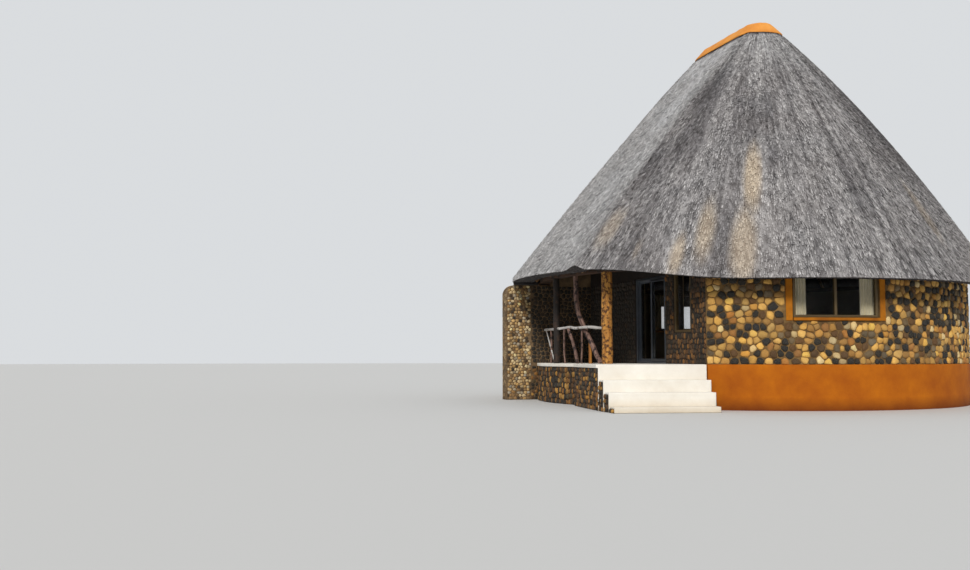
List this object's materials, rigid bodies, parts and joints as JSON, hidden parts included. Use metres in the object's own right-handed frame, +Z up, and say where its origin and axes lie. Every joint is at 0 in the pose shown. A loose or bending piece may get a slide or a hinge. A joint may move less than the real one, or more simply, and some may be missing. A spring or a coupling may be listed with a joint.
{
  "type": "rondavel hut",
  "caption": "Round stone hut on a raised plinth with a short-ridged thatch roof, a verandah with posts and a stick railing, cement steps, windows and a sliding door",
  "frame": {"origin": "on the level ground under the middle of the round wall", "axes": "+Z up, the ridge along Y, the front window and the foot of the steps towards -Y, the verandah on the -X side"},
  "size_m": [11.74, 11.74, 9.44],
  "materials": {
    "fill": "packed rubble fill inside the plinth",
    "plinth_render": "rust orange painted cement render",
    "cement": "trowelled white cement",
    "dark_stone": "dark field stones in recessed mortar",
    "cobble_stone": "ochre, tan and charcoal cobbles in recessed mortar",
    "back_wall_stone": "shaded stone and render",
    "window_render": "orange brown cement render",
    "bronze_frame": "bronze coated window sections",
    "glass": "clear window glass",
    "curtain": "cream woven curtain",
    "door_metal": "plain aluminium sections",
    "log": "peeled log with patches of dark bark",
    "pale_branch": "weathered grey branch",
    "branch": "weathered branch",
    "beam_timber": "sawn dark timber",
    "pole": "peeled gum poles",
    "thatch": "weathered grey reed thatch",
    "cap_cement": "terracotta coloured cement"
  },
  "bodies": {
    "hut": {"plinth_fill": "fill", "plinth": "plinth_render", "floor_slab": "cement", "landing_slab": "cement", "upper_step": "cement", "middle_step": "cement", "lower_step": "cement", "verandah_base_wall": "dark_stone", "landing": "dark_stone", "wall_beside_verandah": "cobble_stone", "wall_under_front_window": "cobble_stone", "wall_right_front": "cobble_stone", "wall_under_right_window": "cobble_stone", "wall_right_back": "cobble_stone", "wall_under_back_window": "cobble_stone", "wall_left_back": "cobble_stone", "screen_wall": "cobble_stone", "back_wall_piers": "back_wall_stone", "back_wall_under_window": "back_wall_stone", "back_wall": "back_wall_stone", "back_wall_upper": "back_wall_stone", "window_surrounds": "window_render", "window_frames": "bronze_frame", "window_glass": "glass", "curtains": "curtain", "door_frame": "door_metal", "verandah_posts": "log", "verandah_rail": "pale_branch", "leaning_trunk": "branch", "balusters": "branch", "ring_beam": "beam_timber", "ridge_crown": "beam_timber", "rafters": "pole", "thatch_front": "thatch", "thatch_front_right": "thatch", "thatch_right": "thatch", "thatch_back_right": "thatch", "thatch_back": "thatch", "thatch_back_left": "thatch", "thatch_left": "thatch", "thatch_front_left": "thatch", "ridge_cap": "cap_cement"},
    "sliding_door": {"door_leaf": "door_metal", "door_leaf_glass": "glass"}
  },
  "joints": [
    {"name": "door_slide", "type": "slide", "parent": "hut", "child": "sliding_door", "axis": [0, 1, 0], "range_m": [0, 0.64]}
  ]
}
